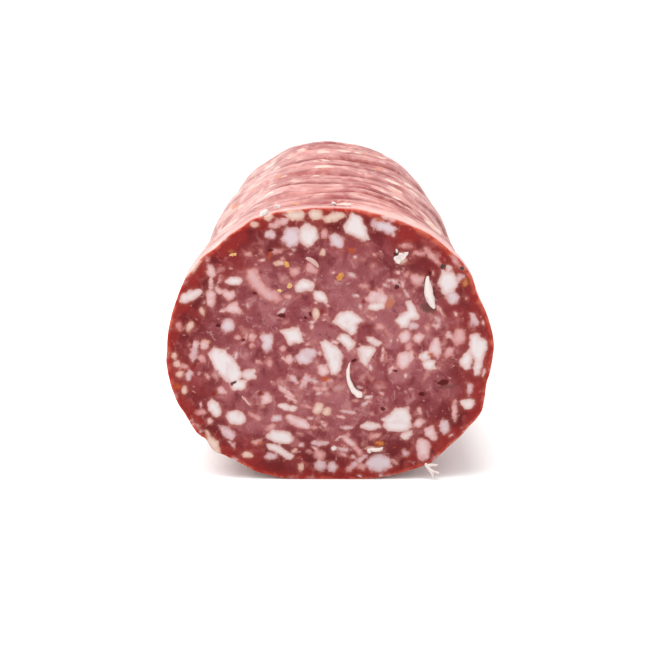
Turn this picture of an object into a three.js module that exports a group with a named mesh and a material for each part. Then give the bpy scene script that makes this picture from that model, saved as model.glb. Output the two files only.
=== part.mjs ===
// A cured sausage, peeled of its casing, lying on the flat that formed where it rested.
// It is cut square at the front and keeps its rounded, puckered end at the back.
// Millimetres. X runs across, Y from the cut face to the puckered end, Z up.
import * as THREE from 'three';

// Driving dimensions.
const LENGTH = 280; // cut face to the tip of the knot
const DOME_LENGTH = 27; // the rounded end, from the full section to the knot
const KNOT_LENGTH = 6; // the small nub where the casing was tied
const KNOT_RADIUS = 4.5;
const HALF_WIDTH = 35; // of the cut face
const HEIGHT = 59; // of the cut face
const RING_SPACING = 8.5; // along the straight body
const DOME_RINGS = 10;
const SIDE_SEGMENTS = 52; // round the section, from one edge of the flat to the other
const FLAT_SEGMENTS = 4; // across the flat underneath
const AXIS_HEIGHT = 28; // the line that the section draws in to at the rounded end
const REAR_RISE = 0.8; // how much higher the back of the body is than the cut face

// The section at the cut face, clockwise from one edge of the flat to the other.
const SECTION = [
  [-9.5, 0], [-17, 2.2], [-24.8, 6.8], [-30.6, 13], [-34, 20.6], [-34.5, 31], [-32.3, 40.5],
  [-28, 47.6], [-22, 52.9], [-15, 57], [-8, 58.9], [2, 59.2], [12, 57.6], [21, 53.7],
  [27.5, 49.1], [31, 44], [33.6, 37], [35.2, 30.5], [34.9, 24.5], [33.3, 17], [30.4, 11.5],
  [26, 6.8], [21, 3.2], [15, 1.1], [9.5, 0],
];

// The body is drawn in a little behind the cut and fuller beyond:
// [distance behind the face, gain in half width].
const GIRTH = [[0, 0], [38, 0], [74, -1.5], [112, 2.2], [165, 3], [235, 2.8], [280, 2.8]];

// Shallow belts round the body where it shrank as it dried: [distance behind the face, depth].
const BELTS = [[61, 0.5], [99, 0.9], [150, 1.1], [210, 0.8]];
const BELT_WIDTH = 11;
const BELT_WANDER = 5; // how far a belt strays along the body on its way round

const PUCKERS = 13; // radial folds at the rounded end
const PUCKER_DEPTH = 0.05; // as a share of the radius there

const smooth = THREE.MathUtils.smoothstep;

// The section as evenly spaced points. The flat's points lie exactly on z = 0.
function sectionPoints() {
  const side = new THREE.CatmullRomCurve3(
    SECTION.map(([x, z]) => new THREE.Vector3(x, 0, z)), false, 'centripetal');
  const points = side.getSpacedPoints(SIDE_SEGMENTS);
  const right = points.at(-1);
  const left = points[0];
  for (let i = 1; i < FLAT_SEGMENTS; i++) {
    points.push(right.clone().lerp(left, i / FLAT_SEGMENTS));
  }
  return points;
}

// The profile: x is the share of the full section and y the distance behind the cut face.
function profilePoints() {
  const knotShare = KNOT_RADIUS / HALF_WIDTH;
  const domeStart = LENGTH - DOME_LENGTH - KNOT_LENGTH;
  const rings = Math.round(domeStart / RING_SPACING);
  const profile = [new THREE.Vector2(0, 0)];
  for (let i = 0; i <= rings; i++) {
    profile.push(new THREE.Vector2(1, (domeStart * i) / rings));
  }
  for (let i = 1; i <= DOME_RINGS; i++) {
    const turn = (Math.PI / 2) * (i / DOME_RINGS);
    const share = knotShare + (1 - knotShare) * Math.cos(turn) ** 0.9;
    profile.push(new THREE.Vector2(share, domeStart + DOME_LENGTH * Math.sin(turn)));
  }
  profile.push(new THREE.Vector2(knotShare * 1.1, LENGTH - KNOT_LENGTH * 0.4));
  profile.push(new THREE.Vector2(knotShare * 0.7, LENGTH - KNOT_LENGTH * 0.06));
  profile.push(new THREE.Vector2(0, LENGTH));
  return profile;
}

// The gain in half width at a distance behind the face, eased from one station to the next.
function girthGain(behind) {
  const next = Math.max(1, GIRTH.findIndex(([at]) => at >= behind));
  const [[fromAt, from], [toAt, to]] = [GIRTH[next - 1], GIRTH[next]];
  return THREE.MathUtils.lerp(from, to, smooth(behind, fromAt, toAt));
}

// How far the surface is drawn in at a place on the side, in mm.
function beltDepth(behind, angle) {
  return BELTS.reduce((sum, [at, depth], i) => {
    const off = (behind - at - BELT_WANDER * Math.sin(angle * 1.5 + i * 2.1)) / BELT_WIDTH;
    return sum + depth * Math.exp(-off * off);
  }, 0);
}

// Turns the lathed round of radius 1 into the section, with its belts and puckers.
function shapeToSection(geometry, section, profile) {
  const position = geometry.attributes.position;
  for (let i = 0; i < position.count; i++) {
    const { x: share, y: behind } = profile[i % profile.length];
    const edge = section[Math.floor(i / profile.length) % section.length];
    const wider = 1 + girthGain(behind) / HALF_WIDTH;
    const taller = 1 + (REAR_RISE * smooth(behind, 60, 200)) / HEIGHT;
    const out = new THREE.Vector3(edge.x * wider, 0, edge.z * taller - AXIS_HEIGHT);
    const angle = Math.atan2(out.z, out.x);
    const aboveFlat = smooth(edge.z, 3, 22);
    const drawnIn = 1 - (beltDepth(behind, angle) * aboveFlat) / out.length();
    const atDome = smooth(behind, LENGTH - DOME_LENGTH - KNOT_LENGTH, LENGTH - KNOT_LENGTH);
    const folded = 1 - PUCKER_DEPTH * atDome * (1 - Math.cos(PUCKERS * angle));
    out.multiplyScalar(share * drawnIn * folded);
    position.setXYZ(i, out.x, behind, out.z + AXIS_HEIGHT);
  }
}

function sausage() {
  const section = sectionPoints();
  const profile = profilePoints();
  const geometry = new THREE.LatheGeometry(profile, section.length);
  shapeToSection(geometry, section, profile);
  geometry.computeVertexNormals();
  const meat = new THREE.MeshStandardMaterial({ color: 0xa8555a, roughness: 0.5, metalness: 0 });
  const mesh = new THREE.Mesh(geometry, meat);
  mesh.name = 'sausage';

  // The origin is under the middle of the body, on the surface that it lies on.
  const box = new THREE.Box3().setFromBufferAttribute(geometry.attributes.position);
  const middle = box.getCenter(new THREE.Vector3());
  mesh.position.set(-middle.x, -middle.y, -box.min.z);
  return mesh;
}

const group = new THREE.Group();
group.add(sausage());
export default group;
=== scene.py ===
# A peeled, dry-cured sausage on a pale surface, seen from its cut end.
# Everything is in metres, in the part's own frame: +Y runs from the cut face to the
# puckered end, +Z is up, and the sausage lies on z = 0.
import math
import random

import bpy
import numpy as np
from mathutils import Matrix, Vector, noise
from mathutils.bvhtree import BVHTree


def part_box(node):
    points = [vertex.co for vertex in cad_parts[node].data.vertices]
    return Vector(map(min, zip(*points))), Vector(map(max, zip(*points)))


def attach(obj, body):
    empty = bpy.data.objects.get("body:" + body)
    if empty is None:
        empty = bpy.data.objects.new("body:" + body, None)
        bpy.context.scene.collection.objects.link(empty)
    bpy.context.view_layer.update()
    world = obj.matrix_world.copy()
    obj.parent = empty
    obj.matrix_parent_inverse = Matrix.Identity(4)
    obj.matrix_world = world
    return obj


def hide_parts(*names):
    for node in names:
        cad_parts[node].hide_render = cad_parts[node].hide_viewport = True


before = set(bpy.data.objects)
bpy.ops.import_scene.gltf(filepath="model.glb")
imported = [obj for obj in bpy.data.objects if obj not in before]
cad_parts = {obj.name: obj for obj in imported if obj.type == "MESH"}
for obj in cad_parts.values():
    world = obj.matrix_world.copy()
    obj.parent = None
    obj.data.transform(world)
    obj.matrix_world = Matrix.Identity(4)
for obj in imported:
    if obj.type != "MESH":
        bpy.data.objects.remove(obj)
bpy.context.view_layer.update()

# ---------------------------------------------------------------------------------------------
# Camera. A 75 mm lens looks along the body from in front of the cut face, a little above it.
# ---------------------------------------------------------------------------------------------
MM = 0.001
low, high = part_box("sausage")
FACE_Y = low.y
CAMERA_DISTANCE = 284.2 * MM
CAMERA_HEIGHT = 88.05 * MM
CAMERA_X = -0.38 * MM
CAMERA_PITCH = 10.71
CAMERA_YAW = 0.14

bpy.ops.object.camera_add(
    location=(CAMERA_X, FACE_Y - CAMERA_DISTANCE, CAMERA_HEIGHT),
    rotation=(math.radians(90 - CAMERA_PITCH), 0, math.radians(CAMERA_YAW)),
)
camera = bpy.context.object
camera.name = "camera"
camera.data.lens = 75
camera.data.sensor_width = 36
camera.data.clip_start = 0.01
bpy.context.scene.camera = camera
bpy.context.scene.view_settings.view_transform = "Standard"

# ---------------------------------------------------------------------------------------------
# Surface and light. A white sheet of matt card, lit by a white room and one large soft lamp
# overhead, so that the card stays white and the sausage keeps a soft shadow at its foot.
# ---------------------------------------------------------------------------------------------
CARD_SIZE = 6.0
CARD_WHITE = "#f8fbfb"
ROOM_STRENGTH = 1.1
LAMP_SIZE = 0.8
LAMP_HEIGHT = 0.75
LAMP_BEHIND = -0.05
LAMP_X = -0.25
LAMP_POWER = 8.0


def linear(code, alpha=1.0):
    """A #rrggbb colour as the linear RGBA that nodes take."""
    parts = [int(code[i : i + 2], 16) / 255 for i in (1, 3, 5)]
    curve = [c / 12.92 if c <= 0.04045 else ((c + 0.055) / 1.055) ** 2.4 for c in parts]
    return (*curve, alpha)


def add_node(tree, kind, inputs, give=None, **settings):
    """Adds a node, sets or links its inputs by name or number, and returns one of its outputs."""
    node = tree.nodes.new("ShaderNode" + kind)
    for name, value in settings.items():
        setattr(node, name, value)
    for name, value in inputs.items():
        if isinstance(name, int):
            socket = node.inputs[name]
        else:
            socket = next(s for s in node.inputs if s.enabled and s.name == name)
        if isinstance(value, bpy.types.NodeSocket):
            tree.links.new(value, socket)
        else:
            socket.default_value = value
    return next((s for s in node.outputs if s.enabled and give in (None, s.name)), None)


def new_material(name):
    """An empty node material and its tree."""
    material = bpy.data.materials.new(name)
    material.use_nodes = True
    material.node_tree.nodes.clear()
    return material, material.node_tree


bpy.ops.mesh.primitive_plane_add(size=CARD_SIZE, location=(0, 0, 0))
card = bpy.context.object
card.name = "white_card"
card_paint, tree = new_material("matt_card")
paint = add_node(tree, "BsdfPrincipled", {"Base Color": linear(CARD_WHITE), "Roughness": 0.9})
add_node(tree, "OutputMaterial", {"Surface": paint})
card.data.materials.append(card_paint)

room = bpy.data.worlds.new("white_room")
room.use_nodes = True
room.node_tree.nodes["Background"].inputs["Color"].default_value = (1, 1, 1, 1)
room.node_tree.nodes["Background"].inputs["Strength"].default_value = ROOM_STRENGTH
bpy.context.scene.world = room

bpy.ops.object.light_add(type="AREA", location=(LAMP_X, FACE_Y + LAMP_BEHIND, LAMP_HEIGHT))
lamp = bpy.context.object
lamp.name = "softbox"
lamp.data.shape = "SQUARE"
lamp.data.size = LAMP_SIZE
lamp.data.energy = LAMP_POWER

# ---------------------------------------------------------------------------------------------
# The sausage's body: one firm piece of coarse minced pork and fat, cured and air dried, then
# peeled. A fine grid is rolled into a closed tube: its rows run from the middle of the cut face
# out to the rim, back along the side and in over the puckered end to the knot.
# ---------------------------------------------------------------------------------------------
ROUND_STEPS = 400
FACE_ROWS = 80
RIM_ROWS = 4
SIDE_ROWS = 140
END_ROWS = 18
RIM_RADIUS = 0.45 * MM
END_DEPTH = 33 * MM
END_START = high.y - END_DEPTH
ROW_CROWDING = 1.5  # rows stand closer together near the rim and near the knot
SOFTEN_ROUND = 22  # passes that even out the plain solid's facets
SOFTEN_ALONG = 8
KNOT_FROM = 50  # degrees in over the end, where the knot's own shape is kept
KNOT_BLEND = 20
JUST_BEHIND = 0.1 * MM
AXIS_HEIGHT = 28 * MM

cad_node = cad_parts["sausage"]
cad_points = np.array([cad_node.matrix_world @ v.co for v in cad_node.data.vertices])
cad_faces = [tuple(p.vertices) for p in cad_node.data.polygons]
cad_surface = BVHTree.FromPolygons([Vector(p) for p in cad_points], cad_faces)
rim_points = cad_points[np.abs(cad_points[:, 1] - FACE_Y) < 0.01 * MM]
FACE_MIDDLE_X = (rim_points[:, 0].min() + rim_points[:, 0].max()) / 2


def reach(origin_y, angle, pitch):
    """How far the plain solid's surface is from the axis in a direction."""
    way = Vector((
        math.cos(angle) * math.cos(pitch), math.sin(pitch), math.sin(angle) * math.cos(pitch)
    ))
    start = Vector((FACE_MIDDLE_X, origin_y, AXIS_HEIGHT))
    return cad_surface.ray_cast(start, way)[3]


def soften(grid, times, axis, closed):
    """Evens out a grid of numbers along one axis."""
    for _ in range(times):
        before, after = np.roll(grid, 1, axis), np.roll(grid, -1, axis)
        if not closed:
            before[0], after[-1] = grid[0], grid[-1]
        grid = (before + 2 * grid + after) / 4
    return grid


angles = np.arange(ROUND_STEPS) * 2 * math.pi / ROUND_STEPS
side_share = np.linspace(0, 1, SIDE_ROWS)
side_y = FACE_Y + RIM_RADIUS + (END_START - FACE_Y - RIM_RADIUS) * side_share**ROW_CROWDING
end_pitch = np.radians(90) * (1 - (1 - np.arange(1, END_ROWS + 1) / END_ROWS) ** ROW_CROWDING)
spoke_y = np.concatenate([side_y, np.full(END_ROWS, END_START)])
spoke_pitch = np.concatenate([np.zeros(SIDE_ROWS), end_pitch])
radius = np.array([[reach(min(max(y, FACE_Y + JUST_BEHIND), END_START), a, p) for a in angles]
                   for y, p in zip(spoke_y, spoke_pitch)])
radius = soften(radius, SOFTEN_ROUND, 1, closed=True)
near_knot = np.clip((np.degrees(spoke_pitch) - KNOT_FROM) / KNOT_BLEND, 0, 1)[:, None]
evened, kept = (soften(radius, times, 0, closed=False) for times in (SOFTEN_ALONG, 1))
radius = evened * (1 - near_knot) + kept * near_knot

# The outline isn't true: it swells and dips by fractions of a millimetre around the cut.
RIM_DENTS = [  # where around the cut in degrees, gain in radius in mm, half width in degrees
    (-22, 0.6, 4.5), (-12, -0.45, 4), (4, 0.3, 5), (22, -0.5, 6), (41, -0.2, 3), (51, 0.3, 5),
    (120, 0.35, 3), (137, -0.35, 4), (160, -0.3, 5), (183, 0.3, 5), (204, -0.3, 4),
    (215, -0.45, 1.8), (221, 0.5, 2.4), (231, -0.2, 4), (240, 0.3, 3), (-39, -0.35, 5),
    (-48, 0.3, 3),
]
RIM_NOISE = 0.2 * MM
DENT_REACH = 9 * MM

cos, sin = np.cos(angles), np.sin(angles)
dents = RIM_NOISE * np.array([noise.fractal(Vector((5 * c, 5 * s, 4.4)), 0.7, 2.2, 4)
                              for c, s in zip(cos, sin)])
for at, gain, half_width in RIM_DENTS:
    off = (np.degrees(angles) - at + 180) % 360 - 180
    dents += gain * MM * np.exp(-((off / half_width) ** 2))
dents *= np.clip((radius[0] * sin + AXIS_HEIGHT) / (4 * MM), 0, 1)
radius += dents * np.exp(-np.maximum(spoke_y - FACE_Y, 0) / DENT_REACH)[:, None]

# Each row of points, from the middle of the face to the tip of the knot.
rim_radius = radius[0]
rows = []
for k in range(FACE_ROWS):
    r = (rim_radius - RIM_RADIUS) * k / (FACE_ROWS - 1)
    rows.append((r * cos, np.full(ROUND_STEPS, FACE_Y), r * sin))
for k in range(1, RIM_ROWS + 1):
    turn = math.radians(90) * k / (RIM_ROWS + 1)
    r = rim_radius - RIM_RADIUS * (1 - math.sin(turn))
    rows.append((r * cos, np.full(ROUND_STEPS, FACE_Y + RIM_RADIUS * (1 - math.cos(turn))), r * sin))
for y, p, r in zip(spoke_y, spoke_pitch, radius):
    rows.append((r * cos * math.cos(p), y + r * math.sin(p), r * sin * math.cos(p)))
points = np.array(rows).transpose(0, 2, 1)
points[..., 0] += FACE_MIDDLE_X
points[..., 2] += AXIS_HEIGHT
first_side = FACE_ROWS + RIM_ROWS
ALL_ROWS = len(points)

# --- relief on the side -----------------------------------------------------------------------
# As it dried the body drew in under its casing: pleats run round it, with finer wrinkles
# between, and they fade where it was pressed flat underneath.
PLEATS = [  # distance behind the face, depth, half width, in mm
    (10, 0.9, 1.5), (23, 0.6, 1.5), (35, 1.1, 1.9), (48, 0.7, 1.8), (61, 1.3, 2.4),
    (80, 0.9, 2.2), (99, 1.5, 3.0), (122, 0.9, 2.6), (150, 1.7, 3.6), (176, 1.0, 2.8),
    (210, 1.5, 3.4), (232, 0.9, 2.8),
]
BULGES = [  # distance behind the face, degrees round, gain, half length, half width in degrees
    (190, 130, -2.2, 50, 15), (180, 54, 1.5, 50, 13), (60, 150, -0.8, 30, 12),
    (110, 20, 0.7, 25, 14), (230, 200, -1.0, 30, 16), (140, 350, -0.8, 30, 16),
]
PLEAT_WANDER = 5 * MM
PLEAT_HEART = math.radians(78)  # they cut deepest here, just off the top
PLEAT_SPREAD = 0.4
PLEAT_STRENGTH = 0.28
HEART_STRENGTH = 0.95
SIDE_STRENGTH = 0.75  # how deep they stay on their way down the sides
WRINKLE_DEPTH = 0.3 * MM
LUMP_HEIGHT = 0.6 * MM
LIP_HEIGHT = 0.35 * MM
PUCKERS = 13
PUCKER_HEIGHT = 0.9 * MM


def ramp(value, start, end):
    """0 before start, 1 after end and smooth between."""
    t = np.clip((value - start) / (end - start), 0, 1)
    return t * t * (3 - 2 * t)


def cloud(x, y, z, octaves=3):
    """Smooth noise at each place, about -1 to 1."""
    flat = [noise.fractal(Vector(p), 0.8, 2.1, octaves)
            for p in zip(x.ravel(), y.ravel(), z.ravel())]
    return np.array(flat).reshape(x.shape)


side = points[first_side:]
behind = (side[..., 1] - FACE_Y)
around_x = np.broadcast_to(cos, behind.shape)
around_z = np.broadcast_to(sin, behind.shape)
above_flat = ramp(side[..., 2], 1.5 * MM, 16 * MM)
on_top = ramp(around_z, -0.75, 0.6)

relief = np.zeros_like(behind)
# pleat marks each pleat's trough and the hollows of the folds at the end, for the painted shade in them.
pleat = np.zeros_like(behind)
for k, (at, depth, half_width) in enumerate(PLEATS):
    stray = PLEAT_WANDER * cloud(around_x[:1] * 1.1, around_x[:1] * 0 + 9.1 * k, around_z[:1] * 1.1, 3)
    strength = cloud(around_x[:1] * 1.7, around_x[:1] * 0 + 3.7 * k + 50, around_z[:1] * 1.7, 2)
    at_heart = HEART_STRENGTH * np.exp(-((angles - PLEAT_HEART) / PLEAT_SPREAD) ** 2)
    strength = np.clip(PLEAT_STRENGTH + 0.9 * strength + at_heart, 0.04, 1.5)
    off = (behind - at * MM - stray) / (half_width * MM)
    off = np.where(off < 0, off / 0.7, off / 1.25)  # steeper on the side nearer the cut
    trough = np.exp(-off**2)
    shoulders = 0.45 * np.exp(-((off - 2.3) / 1.5) ** 2) + 0.4 * np.exp(-((off + 2.2) / 1.4) ** 2)
    drawn_in = np.maximum(strength, SIDE_STRENGTH + 0.35 * np.sin(2 * angles + 2.6 * k))
    relief += depth * MM * drawn_in * (shoulders - trough)
    pleat = np.maximum(pleat, np.clip(depth * strength, 0, 1.2) * np.exp(-((off - 0.35) / 1.15) ** 2))
# Where the end was gathered and tied, folds run in towards the knot.
into_end = np.degrees(spoke_pitch[:, None])
gather = (np.cos(PUCKERS * angles + 2.2 * np.sin(2 * angles) + 1.4 * np.sin(3 * angles + 1))
          * ramp(into_end, 8, 55) * (1 - ramp(into_end, 74, 84)))
relief += PUCKER_HEIGHT * gather
pleat = np.maximum(pleat, np.clip(-gather - 0.25, 0, 0.6))
wrinkle = cloud(around_x * 2.6, behind / (4.2 * MM), around_z * 2.6, 3)
relief += WRINKLE_DEPTH * wrinkle * ramp(behind, 3 * MM, 14 * MM)
relief += LUMP_HEIGHT * cloud(around_x * 1.9 + 20, behind / (34 * MM), around_z * 1.9, 2)
for at, degrees, gain, half_length, half_width in BULGES:
    turned = (np.degrees(angles) - degrees + 180) % 360 - 180
    relief += gain * MM * np.exp(-((behind / MM - at) / half_length) ** 2 - (turned / half_width) ** 2)
pleat *= above_flat * (0.35 + 0.65 * on_top)
relief *= above_flat * (0.35 + 0.65 * on_top)
relief *= ramp(behind, 0, 7 * MM)
relief += LIP_HEIGHT * np.exp(-((behind - 4.5 * MM) / (3 * MM)) ** 2) * above_flat * on_top

ahead = np.roll(side, -1, 1) - np.roll(side, 1, 1)
along = np.gradient(side, axis=0)
normal = np.cross(along, ahead)
normal /= np.maximum(np.linalg.norm(normal, axis=2, keepdims=True), 1e-12)
outward = side - np.array([FACE_MIDDLE_X, 0, AXIS_HEIGHT])
outward[..., 1] = 0
if (normal[20] * outward[20]).sum() < 0:
    normal = -normal
side += normal * relief[..., None]
side[-1] = side[-1].mean(axis=0)
side[..., 2] = np.maximum(side[..., 2], 0)
points[0] = points[0].mean(axis=0)

# --- the grid itself ---------------------------------------------------------------------------
bpy.ops.object.select_all(action="DESELECT")
bpy.ops.mesh.primitive_grid_add(x_subdivisions=ROUND_STEPS, y_subdivisions=ALL_ROWS - 1, size=1)
sausage = bpy.context.object
sausage.name = "sausage_body"
mesh = sausage.data
flat = np.empty(len(mesh.vertices) * 3)
mesh.vertices.foreach_get("co", flat)
flat = flat.reshape(-1, 3)
column = np.rint((flat[:, 0] + 0.5) * ROUND_STEPS).astype(int) % ROUND_STEPS
row = np.rint((flat[:, 1] + 0.5) * (ALL_ROWS - 1)).astype(int)
placed = points[row, column]
mesh.vertices.foreach_set("co", placed.ravel())

# --- what the knife cut through ----------------------------------------------------------------
# Places on the cut face are in millimetres: x to the right of the face's own zero line and z
# above the surface it lies on. Fat comes as grains of back fat, chopped to a few millimetres;
# each is (x, z, length, breadth, turn in degrees), listed by how it shows.
FACE_ZERO_X = FACE_MIDDLE_X - 0.35 * MM
FACE_ZERO_Z = 0.55
FAT_TONES = {  # colour, softness of the edge in mm
    "bright": ("#c6bbbb", 0.24),
    "cream": ("#c4afa4", 0.26),
    "yellow": ("#c9b08c", 0.3),
    "pale_pink": ("#c2a7a8", 0.28),
    "pink": ("#ba9191", 0.34),
    "lilac": ("#bcaaaf", 0.3),
    "dim": ("#a57878", 0.55),
}
GRAINS = {
    "bright": [
        (-4.3, 53, 4.8, 4.5, 90), (-20, 43.2, 3.3, 2, 0), (-29.4, 40, 5.2, 2.2, 30),
        (-5.1, 42.2, 4.4, 2.7, 0), (25.3, 43.2, 5, 4.3, 90), (25.5, 46, 1.3, 1.3, 0),
        (10.4, 37.9, 3.8, 1.9, 10), (9.8, 30.2, 3.8, 1.7, -28), (20.7, 26.9, 2.3, 2.2, 0),
        (21.7, 25.1, 3, 2.6, 0), (9.3, 11.5, 4.6, 1.9, 5), (17, 9.4, 2.8, 1.6, 20),
        (-19.4, 20.7, 3.4, 2.9, 0), (-24.6, 15.4, 4.2, 2.6, -65), (-20, 13.4, 4.6, 3, -20),
        (-10.3, 9.1, 6.4, 3, -10), (-10.5, 5.9, 6.6, 1.7, -27), (-8.7, 15.6, 4.2, 1.5, -12),
        (1.3, 6.5, 1.2, 1, 0), (30, 16.4, 2.8, 2.6, 0), (-1.7, 39.8, 3.4, 2.3, -35),
        (-17, 22.9, 3.3, 2.5, 0),
    ],
    "cream": [
        (-12.6, 57.2, 2.2, 2.2, 0), (-7, 57.3, 3.9, 2.6, 0), (-2.8, 57.4, 2.9, 2.4, 0),
        (-10.4, 47.1, 2.2, 1.1, 0), (-7.4, 5.8, 1.2, 0.8, 30), (-1.2, 49.4, 1.5, 1, 90),
        (27.4, 7.6, 4.6, 0.9, 42), (30.6, 11.4, 3, 0.7, 48), (-2.6, 36.2, 2.6, 1.5, 90),
        (-26.8, 36.5, 2.1, 0.8, -76), (-29.6, 33.4, 2.2, 1.3, 70), (-28.9, 46, 5, 1.8, 48),
        (-22, 52.3, 1.8, 1.2, 35), (-15.7, 55.4, 1.5, 1.2, 0), (1.2, 56.9, 5, 1.9, 15),
        (15.4, 48.2, 2.8, 2.5, 90), (10, 6.3, 4, 1.4, 0), (-2.2, 15.4, 2.4, 2.2, 90),
        (-0.3, 14.7, 2, 1.8, 90), (-31.9, 23, 1.6, 1.4, 0), (-32.6, 25.2, 1.4, 1.4, 0),
        (-33.2, 27, 1.2, 1.2, 0), (-31, 19.5, 2, 1.4, 90), (-25.1, 7.6, 5.8, 2.2, -60),
        (-17.6, 5, 2.4, 1.4, 0), (-6, 2.2, 1.8, 1.2, 90),
    ],
    "yellow": [(-8, 58, 2.2, 1, 0), (-25.8, 30.1, 0.9, 0.6, 0)],
    "pale_pink": [
        (-21.1, 40.2, 2.9, 2.2, 0), (16.4, 31.2, 3, 2.4, 90), (19.3, 31, 2.6, 2.4, 90),
        (23, 28.8, 4, 2.7, 90), (16.2, 26.1, 4, 3, 90), (17.7, 27, 2.4, 1.2, 90),
        (19.7, 12.2, 2.4, 1.9, 40), (22.2, 9.8, 3.6, 2.4, -60), (20.5, 6.5, 5, 2.8, 90),
        (21, 4.6, 2.2, 2, 0), (27.3, 15, 4.4, 1.3, 90), (-26.5, 29.5, 2, 1.9, 0),
        (-6.5, 12.5, 6.3, 2.2, -25), (-13.3, 17.6, 2.6, 2.4, 90), (-8.4, 26.2, 2.2, 1.9, 90),
        (-1, 23.8, 2.8, 2.4, 90), (-24.9, 45.4, 2.8, 2, 90), (-25, 39.5, 3.8, 2, 90),
        (-24.9, 42.4, 3.4, 1.1, 90), (-23.3, 41.2, 2.4, 1.2, -40), (-22.9, 19.4, 2.6, 1.3, -30),
        (-9.1, 19.1, 4.4, 1.0, -35), (-8, 17.6, 3.4, 0.9, -30), (33.4, 23.4, 1.7, 0.6, 85),
        (4.5, 8, 3.6, 1.3, -35), (12.7, 56.6, 3.4, 1, -20), (23.8, 36.9, 3.4, 0.8, -50),
        (-10.4, 55.6, 4.8, 1.4, 20),
    ],
    "pink": [
        (-0.8, 53.3, 2, 2, 0), (-16.9, 49.1, 1.5, 1.2, 0), (-14.2, 49.6, 1.2, 1, 0),
        (-10.8, 49.6, 2.4, 1.2, 0), (-7.2, 45.3, 2.1, 2, 0), (-3.5, 45.9, 3, 2, -40),
        (-8.5, 39.9, 1.6, 0.9, 0), (-31.8, 33.4, 2.2, 1.1, 100), (-19.5, 31.1, 1.8, 1, 0),
        (-27.1, 26.4, 1.5, 1.5, 0), (19.5, 49.2, 2.8, 1.3, 0), (22, 48.5, 5.2, 1.2, -50),
        (27, 47.7, 3.8, 1.1, -52), (19, 43.5, 3.4, 2.6, 0), (7.5, 42.2, 2.4, 0.9, 0),
        (10.8, 41.2, 1.8, 1, 0), (10.5, 39.6, 5, 1.5, 0), (21.2, 33.2, 2, 1.2, 90),
        (11, 33.3, 1.6, 1.4, 0), (17.3, 29.2, 2, 1.6, 90), (28, 31.2, 3.5, 3, 90),
        (25.8, 27.8, 3, 1.8, 60), (9.9, 9.2, 2.6, 1.5, 0), (-1.9, 5, 2.6, 1.8, -30),
        (7.2, 2.3, 2, 1.2, 0), (4.6, 1.8, 1.2, 1, 0), (5.8, 17.1, 2, 0.5, 0),
        (-12.7, 11.2, 2, 1, 30), (-15, 25.7, 1.9, 0.6, -35), (-12.7, 25.3, 1.6, 1.2, 90),
        (-9.8, 28.6, 1.4, 1.2, 0), (-31, 24.8, 1.4, 1.2, 0), (-4, 15.6, 3.4, 0.8, -15),
        (-27.5, 14.6, 2.6, 1.2, 10), (6.3, 6.2, 3, 1.3, -50), (3.4, 9.3, 2.6, 0.8, 10),
        (16.5, 50.8, 3, 1.3, 0), (-17.5, 17, 2.7, 0.6, -45), (-15.9, 13.7, 3, 1, -30),
    ],
    "lilac": [
        (-7.9, 52.6, 5, 3.8, 90), (-12.3, 53.3, 2.4, 1.9, 0), (1.8, 51.8, 3.6, 2.6, -40),
        (11.8, 54.8, 6, 2.4, -22), (26.5, 39.7, 3, 2.6, 90), (27.9, 44, 2, 1.4, 0),
        (5, 44.6, 2.5, 0.9, -35), (18, 33.6, 2.2, 1.4, 0), (31.3, 35, 3.2, 1.3, -55),
        (25.3, 11.3, 3.2, 2.3, 90), (30.4, 19.7, 3, 1.2, 90), (-1.7, 2.6, 2.8, 2.4, 0),
        (0.9, 2.3, 2.6, 2.2, 90), (16.8, 5.2, 1.2, 1.2, 0), (4.3, 14.6, 3.6, 0.9, -10),
        (4, 11.1, 2.7, 0.7, 0), (-21.5, 33.5, 3, 3, 0), (-13, 30.2, 4, 2.6, 90),
        (-28.7, 28, 4.8, 1.5, 80), (-21.9, 10, 4.4, 2, -40), (-12.3, 4.7, 2.6, 1.4, 0),
        (-30, 22.7, 2.5, 1.2, 70), (-1.9, 7.7, 3.8, 1.2, 3), (-11.2, 13.2, 2.5, 1.8, 0),
        (5.4, 2.6, 3, 1, 40), (7.2, 4, 3, 0.9, 40),
    ],
    "dim": [
        (11, 20.3, 2.2, 1.8, 0), (13.2, 39.2, 2, 2.2, 0), (-24.4, 23, 1.6, 2.4, 30), (2.5, 20, 3, 2, 20),
    ],
}
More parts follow.
